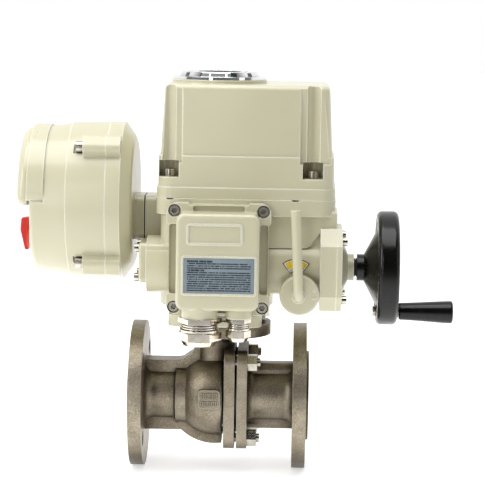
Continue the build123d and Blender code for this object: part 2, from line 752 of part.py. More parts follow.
with BuildPart() as clutch_shaft:
    disc(facing(-37), lever_x, lever_z, 6, 58)
    disc(facing(-85.2), lever_x, lever_z, 9, 0.7)
finish(clutch_shaft, "clutch_shaft")

with BuildPart() as lever_scale_plate:
    with BuildSketch(facing(-60)) as fan:
        with BuildLine():
            outer = CenterArc((lever_x - 4, 143), 24, 52, 76)
            inner = CenterArc((lever_x - 4, 143), 10, 52, 76)
            Line(outer @ 0, inner @ 0)
            Line(outer @ 1, inner @ 1)
        make_face()
    extrude(amount=30)
    with BuildSketch(across(lever_x - 40)) as tube:
        with Locations((worm_y, worm_z)):
            Circle(31.9)
            Circle(31.5, mode=Mode.SUBTRACT)
    extrude(tube.sketch, amount=80, mode=Mode.INTERSECT)
finish(lever_scale_plate, "lever_scale_plate")

# ---------------------------------------------------------------- top cover
with BuildPart() as top_cover:
    extrude(housing_outline(0.3, seam), amount=12, taper=1)
    extrude(housing_outline(1.9, seam + 12), amount=34, taper=1)
    extrude(housing_outline(4.4, panel_ledge), amount=cover_top - panel_ledge, taper=3)
    fillet(top_cover.faces().sort_by(Axis.Z)[-1].outer_wire().edges(), 6)
    for x, y in cover_bolts:
        out_x = math.copysign(1, x - 33)
        out_y = math.copysign(1, y)
        disc(level(shelf), x, y, 9.5, pocket_high, mode=Mode.SUBTRACT)
        block(level(shelf), x, y + 10.5 * out_y, 22, 36, pocket_high, 1, mode=Mode.SUBTRACT)
        block(
            level(shelf + pocket_high - 2), x + 8.3 * out_x, 91 * out_y,
            45.3, 40.2, cover_top - shelf + 8, 1, mode=Mode.SUBTRACT,
        )
        disc(level(shelf + pocket_high - 2), x, 71.4 * out_y, 7, 90, mode=Mode.SUBTRACT)
    disc(level(cover_top - 6), 0, 0, 53, boss_top - cover_top + 6)
    with BuildSketch(level(seam)) as hollow:
        with Locations((32, 0)):
            RectangleRounded(170, 134, 10)
        with Locations(*cover_bolts):
            Circle(17, mode=Mode.SUBTRACT)
    extrude(hollow.sketch, amount=46, taper=2, mode=Mode.SUBTRACT)
    with BuildSketch(level(seam + 46)) as upper_hollow:
        with Locations((33, 0)):
            RectangleRounded(162, 122, 10)
        for x, y in cover_bolts:
            with Locations((x + math.copysign(2, x - 33), y + math.copysign(8, y))):
                Circle(15, mode=Mode.SUBTRACT)
    extrude(upper_hollow.sketch, amount=71, taper=1.5, mode=Mode.SUBTRACT)
    disc(level(cover_top - 20), 0, 0, 30, 40, mode=Mode.SUBTRACT)
    holes(level(shelf), cover_bolts, 4.3, 30)
finish(top_cover, "top_cover")

with BuildPart() as cover_screws:
    socket_screws(level(shelf), cover_bolts, 8, 8, 34.5)
finish(cover_screws, "cover_screws")

bezel_bolts = around(6, 36.0, 30)
with BuildPart() as indicator_bezel:
    disc(level(boss_top), 0, 0, 52.5, 3.2)
    with BuildSketch(level(boss_top + 3.2)) as cone_foot:
        Circle(44.5)
    extrude(cone_foot.sketch, amount=5, taper=30)
    disc(level(boss_top), 0, 0, 24.5, 12, mode=Mode.SUBTRACT)
    disc(level(boss_top), 0, 0, 30, 4.5, mode=Mode.SUBTRACT)
    holes(level(boss_top + 8.2), bezel_bolts, 2.6, 9)
    holes(level(boss_top + 8.2), bezel_bolts, 4.3, 3.6)
finish(indicator_bezel, "indicator_bezel")

with BuildPart() as bezel_screws:
    socket_screws(level(boss_top + 4.6), bezel_bolts, 5, 3, 4.5)
finish(bezel_screws, "bezel_screws")

with BuildPart() as indicator_glass:
    disc(level(boss_top + 0.2), 0, 0, 29.9, 4.2)
finish(indicator_glass, "indicator_glass")

with BuildPart() as indicator_disc:
    disc(level(350), 0, 0, 22, 2.5)
    block(level(352.5), 0, 0, 8, 40, 1.5, 3)
finish(indicator_disc, "indicator_disc")

with BuildPart() as switch_cams:
    for z, turn in ((262, 0), (276, 90)):
        ring(level(z), 0, 0, 6, 12, 8)
        with BuildSketch(level(z)) as nose:
            with Locations(Rotation(0, 0, turn)):
                with Locations((9, 0)):
                    Rectangle(12, 7)
            Circle(6, mode=Mode.SUBTRACT)
        extrude(nose.sketch, amount=8)
finish(switch_cams, "switch_cams")

with BuildPart() as limit_switches:
    for z in (260, 274):
        block(level(z), -2, -26.5, 28, 16, 12, 1)
        block(level(z + 4), -2, -17.3, 3, 2.4, 4, 0.5)
    block(level(236), -2, -29, 8, 8, 50, 1)
    block(level(floor_top), -2, -25, 8, 8, 40, 1)
finish(limit_switches, "limit_switches")

with BuildPart() as circuit_board:
    block(level(floor_top), 64, 34, 52, 24, 46, 4)
    block(level(floor_top + 46), 64, 34, 54, 28, 2, 2)
    for x in (44, 64, 84):
        block(level(floor_top + 48), x, 34, 12, 22, 22, 2)
finish(circuit_board, "circuit_board")

# ---------------------------------------------------------------- terminal box
label_rivets = [(label_x + sx * 35, label_z + sz * 16.3) for sx in (-1, 1) for sz in (-1, 1)]
with BuildPart() as terminal_box:
    block(facing(box_back), box_x, box_z, 113, 122, box_back - box_flange, 12)
    for sx in (-1, 1):
        block(facing(box_back), box_x + sx * 57, box_z, 6, 78, 14, 2.9, mode=Mode.SUBTRACT)
    for sz in (-1, 1):
        block(facing(box_back), box_x, box_z + sz * 61.5, 66, 6, 14, 2.9, mode=Mode.SUBTRACT)
    for sx in (-1, 1):
        block(facing(box_back - 5), box_x + sx * 49, box_z, 9, 76, 14, 3, mode=Mode.SUBTRACT)
    for sz in (-1, 1):
        block(facing(box_back - 9), box_x, box_z + sz * 55, 56, 6, 14, 2.4, mode=Mode.SUBTRACT)
    block(facing(box_back), box_x, box_z, 89, 104, box_back - box_front, 9)
    fillet(terminal_box.faces().sort_by(Axis.Y)[0].outer_wire().edges(), 4)
    disc(level(hub_bottom), large_gland_x, gland_y, 20, 24)
    disc(level(hub_bottom), small_gland_x, gland_y, 14, 24)
    block(facing(box_front + 1), box_x - 3, 197.4, 60, 23, 2, 4)
    block(facing(box_front), box_x - 3, 197.4, 55.5, 18.5, 3, 2.5, mode=Mode.SUBTRACT)
    block(facing(box_front + 1), label_x, label_z, label_wide + 5, label_high + 5, 1.9, 3)
    block(facing(box_front), label_x, label_z, label_wide + 0.6, label_high + 0.6, 3, 1.6, mode=Mode.SUBTRACT)
    block(facing(box_back), box_x, box_z + 2, 76, 86, 34, 5, mode=Mode.SUBTRACT)
    disc(level(hub_bottom - 1), large_gland_x, gland_y, 16, 34, mode=Mode.SUBTRACT)
    disc(level(hub_bottom - 1), small_gland_x, gland_y, 8, 34, mode=Mode.SUBTRACT)
    holes(facing(box_flange), box_bolts, 4.3, 13)
    holes(facing(box_flange), box_bolts, 6.8, 5)
    holes(facing(box_front), label_rivets, 1.3, 5)
finish(terminal_box, "terminal_box")

with BuildPart() as terminal_box_screws:
    socket_screws(facing(box_flange + 5), box_bolts, 7, 4.2, 20)
finish(terminal_box_screws, "terminal_box_screws")

with BuildPart() as terminal_block:
    block(facing(box_back), box_x, 168, 60, 54, 12, 2)
    for row in (-13, 13):
        for column in range(5):
            block(facing(box_back - 12), box_x - 24 + 12 * column, 168 + row, 9, 18, 6, 1)
finish(terminal_block, "terminal_block")

with BuildPart() as nameplate:
    block(facing(box_front), label_x, label_z, label_wide, label_high, 0.6, 1.5)
    for x, z in label_rivets:
        disc(facing(box_front - 0.6), x, z, 1.7, 0.5)
        disc(facing(box_front - 0.6), x, z, 1.25, -5)
finish(nameplate, "nameplate")


def gland(x, radius, bore, height, spigot_r, name):
    """Cable gland: hexagon, threaded barrel and collar, and a clamping nut with a domed end."""
    nut_top = hub_bottom - height * 0.52
    dome_top = hub_bottom - height * 0.82
    barrel_r = radius * 0.8
    with BuildPart() as gland_body:
        disc(level(hub_bottom), x, gland_y, spigot_r, 12)
        hexagon(level(hub_bottom), x, gland_y, 1.84 * radius, -height * 0.19)
        disc(level(hub_bottom), x, gland_y, barrel_r, -height * 0.74)
        for row in (0.25, 0.34):
            disc(level(hub_bottom - height * row), x, gland_y, radius * 0.88, -height * 0.045)
        disc(level(hub_bottom - height * 0.42), x, gland_y, radius * 0.95, -height * 0.085)
        disc(level(hub_bottom - height), x, gland_y, bore, height + 20, mode=Mode.SUBTRACT)
    finish(gland_body, f"{name}_body")
    with BuildPart() as gland_nut:
        hexagon(level(nut_top), x, gland_y, 1.84 * radius, dome_top - nut_top)
        with BuildSketch(level(dome_top)) as dome:
            with Locations((x, gland_y)):
                Circle(radius * 0.94)
        extrude(dome.sketch, amount=hub_bottom - height - dome_top, taper=32)
        disc(level(nut_top), x, gland_y, barrel_r, -height * 0.22, mode=Mode.SUBTRACT)
        disc(level(nut_top), x, gland_y, bore, -height, mode=Mode.SUBTRACT)
    finish(gland_nut, f"{name}_nut")


gland(large_gland_x, 22.3, 10.0, 29.8, 15.9, "large_gland")
gland(small_gland_x, 12.8, 5.0, 25.1, 7.9, "small_gland")

# ---------------------------------------------------------------- control box
drum_axis = Axis((0, 0, drum_z), (1, 0, 0))


def lug(x, y, z, length):
    """Screw lug on the drum's shoulder: a rounded block turned to face outwards."""
    turn = math.degrees(math.atan2(z - drum_z, y))
    with BuildSketch(across(x)) as outline:
        with Locations(Location((y, z), turn)):
            with Locations((-4, 0)):
                RectangleRounded(30, 22, 6)
    extrude(outline.sketch, amount=length)


with BuildPart() as control_body:
    with BuildSketch(facing(0)):
        with BuildLine():
            Polyline(
                (drum_seam, drum_z), (drum_seam, drum_z + drum_r), (-104, drum_z + drum_r),
                (drum_back - 2, drum_z + drum_r - 14), (drum_back, drum_z + drum_r - 20),
                (drum_back, drum_z), (drum_seam, drum_z),
            )
        make_face()
    revolve(axis=drum_axis)
    for y, z in lug_bolts:
        lug(drum_seam, y, z, 16)
    block(across(-96), 0, neck_z, 50, 50, 14.6, 8)
    disc(across(drum_seam), 0, drum_z, 80, 20, mode=Mode.SUBTRACT)
    disc(across(-110), 0, 206, 12, 40, mode=Mode.SUBTRACT)
    for y, z in lug_bolts:
        disc(across(drum_seam), y, z, 4.1, 10, mode=Mode.SUBTRACT)
finish(control_body, "control_body")

with BuildPart() as control_neck_gasket:
    with BuildSketch(across(-81.4)):
        with Locations((0, neck_z)):
            RectangleRounded(49, 49, 7.5)
        with Locations((0, 206)):
            Circle(12, mode=Mode.SUBTRACT)
    extrude(amount=1.4)
finish(control_neck_gasket, "control_neck_gasket")

knob_y = 45.0
knob_z = 186.0
window_z = 257.0
with BuildPart() as control_cover:
    with BuildSketch(facing(0)):
        with BuildLine():
            Polyline(
                (drum_seam, drum_z), (drum_seam, drum_z + drum_r), (drum_ring, drum_z + drum_r - 1.5),
                (drum_ring, drum_z + drum_r - 3), (drum_face + 5, drum_z + drum_r - 6.5),
            )
            CenterArc((drum_face + 5, drum_z + drum_r - 11.5), 5, 90, 90)
            Polyline((drum_face, drum_z + drum_r - 11.5), (drum_face, drum_z), (drum_seam, drum_z))
        make_face()
    revolve(axis=drum_axis)
    for y, z in lug_bolts:
        lug(drum_seam, y, z, -25)
    with BuildSketch(across(drum_step)) as stepped_rim:
        with Locations((0, drum_z)):
            Circle(drum_r + 1)
            Circle(bulge_r - 4, mode=Mode.SUBTRACT)
        with Locations((0, bulge_floor - 100)):
            Rectangle(200, 200, mode=Mode.SUBTRACT)
    extrude(stepped_rim.sketch, amount=drum_face - drum_step, mode=Mode.SUBTRACT)
    for start, end, radius, low in (
        (drum_step, bulge_step, bulge_r, bulge_floor),
        (bulge_step, bulge_face, bulge_front_r, bulge_floor - 5),
    ):
        with BuildSketch(across(start)) as bulge_outline:
            with Locations((0, drum_z)):
                Circle(radius)
            with Locations((0, low - 100)):
                Rectangle(200, 200, mode=Mode.SUBTRACT)
            fillet(bulge_outline.vertices(), 10)
        extrude(bulge_outline.sketch, amount=end - start)
    fillet(control_cover.faces().sort_by(Axis.X)[0].outer_wire().edges(), 8)
    for side in (-1, 1):
        disc(across(drum_face), side * knob_y, knob_z, 19, -1.5)
    block(across(-192), 0, 142, 8, 6, -7, 1)
    disc(across(drum_seam), 0, drum_z, 78, -70, mode=Mode.SUBTRACT)
    block(across(-212), 0, window_z, 94, 58, 30, 10, mode=Mode.SUBTRACT)
    block(across(-220), 0, window_z, 74, 40, 20, 8, mode=Mode.SUBTRACT)
    for side in (-1, 1):
        disc(across(drum_face - 2), side * knob_y, knob_z, 5 + fit_gap, 20, mode=Mode.SUBTRACT)
    for y, z in lug_bolts:
        disc(across(drum_seam), y, z, 4.3, -30, mode=Mode.SUBTRACT)
        disc(across(drum_seam - 25), y, z, 7.5, -11, mode=Mode.SUBTRACT)
finish(control_cover, "control_cover")

with BuildPart() as control_cover_screws:
    outward = Plane(origin=(stem_x + drum_seam - 25, 0, 0), x_dir=(0, 1, 0), z_dir=(-1, 0, 0))
    socket_screws(outward, [(y, -z) for y, z in lug_bolts], 8, 8, 34)
finish(control_cover_screws, "control_cover_screws")

with BuildPart() as control_window:
    block(across(-212), 0, window_z, 90, 54, 5, 10)
    block(across(-212), 0, window_z, 73.8, 39.8, -4, 8)
finish(control_window, "control_window")

with BuildPart() as display_board:
    block(across(-178), 0, 226, 84, 100, -2, 6)
    block(across(-180), 0, window_z, 62, 38, -14, 2)
    for side in (-1, 1):
        block(across(-178), side * 38, 232, 4, 40, 78, 1)
finish(display_board, "display_board")


def selector_knob(side, name):
    """Round selector base with a raised pointer bar and its spindle."""
    y = side * knob_y
    with BuildPart() as knob:
        disc(across(drum_face - 2), y, knob_z, 16, -3)
        with BuildSketch(facing(y + 5)) as pointer:
            with BuildLine():
                Polyline(
                    (drum_face - 4, knob_z + 18), (drum_face - 12, knob_z + 17),
                    (drum_face - 13, knob_z + 4), (drum_face - 8, knob_z - 18),
                    (drum_face - 4, knob_z - 18), close=True,
                )
            make_face()
            fillet(pointer.vertices(), 1.5)
        extrude(pointer.sketch, amount=10)
        disc(across(drum_face - 2), y, knob_z, 5, 14)
    finish(knob, name)


selector_knob(-1, "mode_knob")
selector_knob(1, "command_knob")
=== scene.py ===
import json
import math

import bmesh
import bpy
from mathutils import Matrix, Vector


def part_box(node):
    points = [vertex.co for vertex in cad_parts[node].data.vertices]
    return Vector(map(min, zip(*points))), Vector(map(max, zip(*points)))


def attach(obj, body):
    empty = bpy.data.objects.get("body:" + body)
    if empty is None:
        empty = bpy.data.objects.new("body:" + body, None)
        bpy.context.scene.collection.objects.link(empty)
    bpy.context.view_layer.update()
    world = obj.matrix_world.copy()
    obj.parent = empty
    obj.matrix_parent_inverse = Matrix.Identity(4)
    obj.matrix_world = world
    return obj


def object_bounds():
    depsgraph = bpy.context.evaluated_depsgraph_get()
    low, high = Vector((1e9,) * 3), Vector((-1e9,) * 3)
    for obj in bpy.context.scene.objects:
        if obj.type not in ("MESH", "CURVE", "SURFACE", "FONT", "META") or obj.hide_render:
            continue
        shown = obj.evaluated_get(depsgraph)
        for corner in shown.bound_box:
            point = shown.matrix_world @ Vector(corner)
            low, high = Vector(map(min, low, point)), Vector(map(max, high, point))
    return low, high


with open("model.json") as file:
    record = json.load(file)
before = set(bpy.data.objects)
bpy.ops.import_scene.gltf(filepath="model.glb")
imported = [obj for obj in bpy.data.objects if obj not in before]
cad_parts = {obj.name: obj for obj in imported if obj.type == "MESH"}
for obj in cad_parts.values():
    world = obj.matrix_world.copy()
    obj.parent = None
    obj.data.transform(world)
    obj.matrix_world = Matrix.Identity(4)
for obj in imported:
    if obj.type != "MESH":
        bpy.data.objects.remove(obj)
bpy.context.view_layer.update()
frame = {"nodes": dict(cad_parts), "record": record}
nodes = frame["nodes"]
scene = bpy.context.scene


# ---------------------------------------------------------------- material nodes
class Finish:
    """A material and short calls for the shader nodes that the finishes share."""

    def __init__(self, name, color, roughness, metallic=0.0):
        self.material = bpy.data.materials.new(name)
        self.material.use_nodes = True
        self.tree = self.material.node_tree
        self.shader = self.tree.nodes["Principled BSDF"]
        self.place = self.node("ShaderNodeTexCoord").outputs["Object"]
        self.set("Base Color", color)
        self.set("Roughness", roughness)
        self.set("Metallic", metallic)

    def node(self, kind, **settings):
        made = self.tree.nodes.new(kind)
        for key, value in settings.items():
            setattr(made, key, value)
        return made

    def feed(self, socket, value):
        if isinstance(value, bpy.types.NodeSocket):
            self.tree.links.new(value, socket)
        elif isinstance(value, tuple) and len(value) == 3 and socket.type == "RGBA":
            socket.default_value = (*value, 1.0)
        else:
            socket.default_value = value

    def set(self, name, value):
        self.feed(self.shader.inputs[name], value)

    def math(self, operation, a, b=0.0):
        made = self.node("ShaderNodeMath", operation=operation)
        self.feed(made.inputs[0], a)
        self.feed(made.inputs[1], b)
        return made.outputs[0]

    def spread(self, value, low, high, new_low=0.0, new_high=1.0):
        made = self.node("ShaderNodeMapRange")
        self.feed(made.inputs["Value"], value)
        for key, number in (
            ("From Min", low), ("From Max", high), ("To Min", new_low), ("To Max", new_high),
        ):
            made.inputs[key].default_value = number
        return made.outputs["Result"]

    def mix(self, factor, a, b):
        made = self.node("ShaderNodeMix", data_type="RGBA")
        self.feed(made.inputs[0], factor)
        self.feed(made.inputs[6], a)
        self.feed(made.inputs[7], b)
        return made.outputs[2]

    def noise(self, scale, detail=3.0, rough=0.5, place=None):
        made = self.node("ShaderNodeTexNoise")
        self.feed(made.inputs["Vector"], place or self.place)
        made.inputs["Scale"].default_value = scale
        made.inputs["Detail"].default_value = detail
        made.inputs["Roughness"].default_value = rough
        return made.outputs["Fac"]

    def axes(self, shift=(0.0, 0.0, 0.0)):
        moved = self.node("ShaderNodeMapping")
        self.feed(moved.inputs["Vector"], self.place)
        moved.inputs["Location"].default_value = [-value for value in shift]
        made = self.node("ShaderNodeSeparateXYZ")
        self.feed(made.inputs[0], moved.outputs[0])
        return made.outputs

    def scaled(self, vector, factors):
        made = self.node("ShaderNodeVectorMath", operation="MULTIPLY")
        self.feed(made.inputs[0], vector)
        made.inputs[1].default_value = factors
        return made.outputs[0]

    def radius(self, a, b):
        squares = [self.math("MULTIPLY", value, value) for value in (a, b)]
        return self.math("SQRT", self.math("ADD", *squares))

    def rings(self, distance, pitch):
        turns = self.math("MULTIPLY", distance, 2.0 * math.pi / pitch)
        return self.math("SINE", turns)

    def crevice(self, distance):
        made = self.node("ShaderNodeAmbientOcclusion", samples=6)
        made.inputs["Distance"].default_value = distance
        return made.outputs["AO"]

    def soft_edges(self, radius):
        made = self.node("ShaderNodeBevel", samples=4)
        made.inputs["Radius"].default_value = radius
        return made.outputs["Normal"]

    def edge(self, radius):
        """Near 1 on sharp edges and 0 on open faces."""
        bent = self.node("ShaderNodeVectorMath", operation="DOT_PRODUCT")
        self.feed(bent.inputs[0], self.soft_edges(radius))
        self.feed(bent.inputs[1], self.node("ShaderNodeNewGeometry").outputs["Normal"])
        return self.spread(bent.outputs["Value"], 1.0, 0.8)

    def bump(self, height, distance, strength=1.0, normal=None):
        made = self.node("ShaderNodeBump")
        made.inputs["Strength"].default_value = strength
        made.inputs["Distance"].default_value = distance
        self.feed(made.inputs["Height"], height)
        if normal is not None:
            self.feed(made.inputs["Normal"], normal)
        return made.outputs["Normal"]


def cream_paint():
    made = Finish("cream_paint", (0.66, 0.63, 0.42), 0.34)
    wide = made.noise(9.0, 2.0)
    color = made.mix(made.spread(wide, 0.25, 0.75), (0.545, 0.516, 0.358), (0.605, 0.578, 0.415))
    # Painted highlight: sharp edges are lightened towards a near-white cream.
    color = made.mix(made.spread(made.edge(0.0018), 0.0, 0.45, 0.0, 1.0), color, (0.97, 0.96, 0.83))
    # Painted shade: creases and seams are darkened towards brown where ambient occlusion is low.
    painted_crease_shade = made.spread(made.crevice(0.0045), 0.12, 0.70, 0.75, 0.0)
    color = made.mix(painted_crease_shade, color, (0.24, 0.210, 0.125))
    specks = made.spread(made.noise(900.0, 1.0), 0.72, 0.76, 0.0, 0.35)
    made.set("Base Color", made.mix(specks, color, (0.42, 0.38, 0.25)))
    made.set("Roughness", made.spread(made.noise(25.0), 0.0, 1.0, 0.24, 0.36))
    made.set("Coat Weight", 0.35)
    made.set("Coat Roughness", 0.14)
    made.set("Normal", made.bump(made.noise(330.0, 2.0), 0.00012, 0.30, made.soft_edges(0.0016)))
    return made.material


def cast_stainless():
    made = Finish("cast_stainless", (0.3, 0.27, 0.22), 0.5, 0.9)
    blotch = made.noise(38.0, 5.0, 0.6)
    color = made.mix(made.spread(blotch, 0.35, 0.68), (0.222, 0.188, 0.134), (0.385, 0.338, 0.262))
    stain = made.spread(made.noise(14.0, 3.0), 0.52, 0.70, 0.0, 0.55)
    color = made.mix(stain, color, (0.200, 0.158, 0.104))
    grain = made.noise(1000.0, 3.0, 0.65)
    color = made.mix(made.spread(grain, 0.54, 0.70, 0.0, 0.70), color, (0.66, 0.61, 0.50))
    color = made.mix(made.spread(grain, 0.44, 0.30, 0.0, 0.65), color, (0.095, 0.075, 0.050))
    # Painted highlight: edges are lightened towards pale metal.
    color = made.mix(made.spread(made.edge(0.0012), 0.1, 0.9, 0.0, 0.6), color, (0.72, 0.67, 0.57))
    shade = made.spread(made.crevice(0.045), 0.25, 0.92, 0.88, 0.0)
    color = made.mix(shade, color, (0.075, 0.056, 0.034))
    # Painted shade: narrow crevices are darkened nearly to black, on top of the wider painted shade
    # above.
    painted_hollow_shade = made.spread(made.crevice(0.009), 0.25, 0.97, 0.92, 0.0)
    made.set("Base Color", made.mix(painted_hollow_shade, color, (0.035, 0.026, 0.015)))
    made.set("Roughness", made.spread(blotch, 0.3, 0.7, 0.28, 0.44))
    cast = made.bump(grain, 0.00040, 0.65, made.soft_edges(0.0012))
    cast = made.bump(made.noise(210.0, 4.0), 0.0009, 0.45, cast)
    made.set("Normal", made.bump(made.noise(45.0, 2.0), 0.0022, 0.25, cast))
    return made.material


def turned_metal(
    name, color, dark, roughness,
    pitch=0.0, centre=(0, 0, 0), axis=2, scratch=0.5, shade_distance=0.005,
):
    """Bare or plated metal with handling marks, painted shade in crevices, and tool rings about an axis
    where pitch is set.
    """
    made = Finish(name, color, roughness, 1.0)
    smear = made.noise(85.0, 4.0, 0.6)
    tone = made.mix(made.spread(smear, 0.35, 0.70), color, dark)
    # Painted shade: crevices, grooves and counterbores are darkened nearly to black.
    painted_hollow_shade = made.spread(made.crevice(shade_distance), 0.2, 0.95, 0.9, 0.0)
    tone = made.mix(painted_hollow_shade, tone, tuple(0.08 * v for v in dark))
    made.set("Base Color", tone)
    made.set("Roughness", made.spread(smear, 0.3, 0.75, roughness * 0.75, roughness * 1.35))
    normal = made.bump(made.noise(1500.0, 2.0), 0.00005, scratch, made.soft_edges(0.0004))
    if pitch:
        parts = made.axes(centre)
        around = [parts[i] for i in range(3) if i != axis]
        lines = made.math("ADD", made.rings(made.radius(*around), pitch), made.rings(parts[axis], pitch))
        normal = made.bump(lines, 0.00003, 0.6, normal)
    made.set("Normal", normal)
    return made.material


def moulded(
    name, color, roughness,
    coat=0.0, grain=600.0, depth=0.00006, wear=(0.0, 0.0, 0.0), shine=0.5,
):
    """Moulded plastic or rubber with a fine grain, slow drift in tone and optional worn edges."""
    made = Finish(name, color, roughness)
    made.set("Specular IOR Level", shine)
    drift = made.spread(made.noise(25.0, 3.0), 0.3, 0.7)
    shade = made.mix(drift, color, tuple(0.78 * v for v in color))
    if sum(wear):
        shade = made.mix(made.spread(made.edge(0.0008), 0.2, 1.0, 0.0, 0.35), shade, wear)
    made.set("Base Color", shade)
    made.set("Roughness", made.spread(made.noise(70.0, 4.0), 0.3, 0.7, roughness * 0.8, roughness * 1.25))
    made.set("Coat Weight", coat)
    made.set("Coat Roughness", 0.12)
    made.set("Normal", made.bump(made.noise(grain, 2.0), depth, 0.6, made.soft_edges(0.0005)))
    return made.material


def clear_glass():
    made = Finish("glass_clear", (0.86, 0.92, 0.92), 0.04)
    made.set("Transmission Weight", 1.0)
    made.set("IOR", 1.5)
    smudge = made.spread(made.noise(60.0, 5.0), 0.45, 0.75, 0.02, 0.14)
    made.set("Roughness", smudge)
    haze = made.spread(made.noise(30.0), 0.4, 0.7)
    made.set("Base Color", made.mix(haze, (0.80, 0.88, 0.88), (0.70, 0.79, 0.80)))
    return made.material


def label_foil():
    """Blue-grey foil with rows of generic printed dashes under two short darker headings."""
    made = Finish("label_grey", (0.2, 0.25, 0.3), 0.42, 0.2)
    low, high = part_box("nameplate")
    margin = 0.0018
    row_pitch = 0.0024
    row_count = 14
    print_half = 0.0340
    across, _, up = made.axes(((low.x + high.x) / 2, 0.0, low.z + margin))
    drift = made.spread(made.noise(60.0, 3.0), 0.3, 0.7)
    base = made.mix(drift, (0.205, 0.262, 0.300), (0.245, 0.306, 0.345))
    row = made.math("MULTIPLY", up, 1.0 / row_pitch)
    index = made.math("FLOOR", row)
    within = made.math("FRACT", row)
    first = made.math("COMPARE", index, row_count - 1.0)
    second = made.math("COMPARE", index, 9.0)
    heading = made.math("MAXIMUM", first, second)
    thick = made.spread(heading, 0.0, 1.0, 0.30, 0.46)
    line = made.math("LESS_THAN", made.math("ABSOLUTE", made.math("SUBTRACT", within, 0.5)), thick)
    flat = made.node("ShaderNodeCombineXYZ")
    made.feed(flat.inputs[0], across)
    made.feed(flat.inputs[2], index)
    strokes = made.noise(1.0, 1.0, place=made.scaled(flat.outputs[0], (950.0, 1.0, 7.3)))
    dashes = made.math("GREATER_THAN", strokes, 0.40)
    reach = made.math("LESS_THAN", made.math("ABSOLUTE", across), print_half)
    above = made.math("GREATER_THAN", up, 0.0)
    body = made.math("MULTIPLY", above, made.math("LESS_THAN", up, row_count * row_pitch))
    ends = made.math("ADD", made.math("MULTIPLY", first, -0.043), made.math("MULTIPLY", second, -0.050))
    short = made.math("LESS_THAN", across, made.math("ADD", ends, 0.036))
    ink = made.math("MULTIPLY", made.math("MULTIPLY", line, dashes), made.math("MULTIPLY", reach, body))
    ink = made.math("MULTIPLY", ink, short)
    made.set("Base Color", made.mix(made.math("MULTIPLY", ink, 0.92), base, (0.012, 0.014, 0.018)))
    made.set("Roughness", made.spread(made.noise(120.0, 3.0), 0.3, 0.7, 0.32, 0.48))
    made.set("Normal", made.bump(made.noise(900.0), 0.00003, 0.4, made.soft_edges(0.0003)))
    return made.material


def scale_label():
    """Fan-shaped label: dark outline, white border, yellow band with black lines, pale foot."""
    made = Finish("label_yellow", (0.8, 0.6, 0.03), 0.4)
    low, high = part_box("lever_scale_plate")
    below_plate = 0.0079
    band_inner = 0.0152
    marks_outer = 0.0215
    white_outer = 0.0222
    rim_outer = 0.0231
    rim_inner = 0.0110
    across, _, up = made.axes(((low.x + high.x) / 2, 0.0, low.z - below_plate))
    out = made.radius(across, up)
    angle = made.math("ABSOLUTE", made.math("ARCTAN2", across, up))
    marks = made.math("LESS_THAN", made.math("FRACT", made.math("MULTIPLY", angle, 6.0)), 0.30)
    marks = made.math("MULTIPLY", marks, made.math("LESS_THAN", out, marks_outer))
    yellow = made.mix(made.spread(made.noise(90.0), 0.3, 0.7), (0.76, 0.52, 0.010), (0.86, 0.62, 0.03))
    lines = made.math("LESS_THAN", made.math("FRACT", made.math("MULTIPLY", out, 1.0 / 0.0026)), 0.22)
    printed = made.mix(made.math("MULTIPLY", marks, lines), yellow, (0.02, 0.02, 0.02))
    pale = made.mix(lines, (0.62, 0.60, 0.48), (0.30, 0.29, 0.22))
    band = made.math("GREATER_THAN", out, band_inner)
    inner = made.mix(band, pale, printed)
    outside = made.math("GREATER_THAN", out, white_outer)
    white = made.math("MAXIMUM", outside, made.math("GREATER_THAN", angle, 0.575))
    inner = made.mix(white, inner, (0.80, 0.80, 0.76))
    outside = made.math("GREATER_THAN", out, rim_outer)
    rim = made.math("MAXIMUM", outside, made.math("LESS_THAN", out, rim_inner))
    rim = made.math("MAXIMUM", rim, made.math("GREATER_THAN", angle, 0.625))
    made.set("Base Color", made.mix(rim, inner, (0.020, 0.022, 0.024)))
    made.set("Roughness", made.spread(made.noise(200.0), 0.3, 0.7, 0.30, 0.46))
    made.set("Normal", made.bump(made.noise(800.0), 0.00003, 0.4))
    return made.material


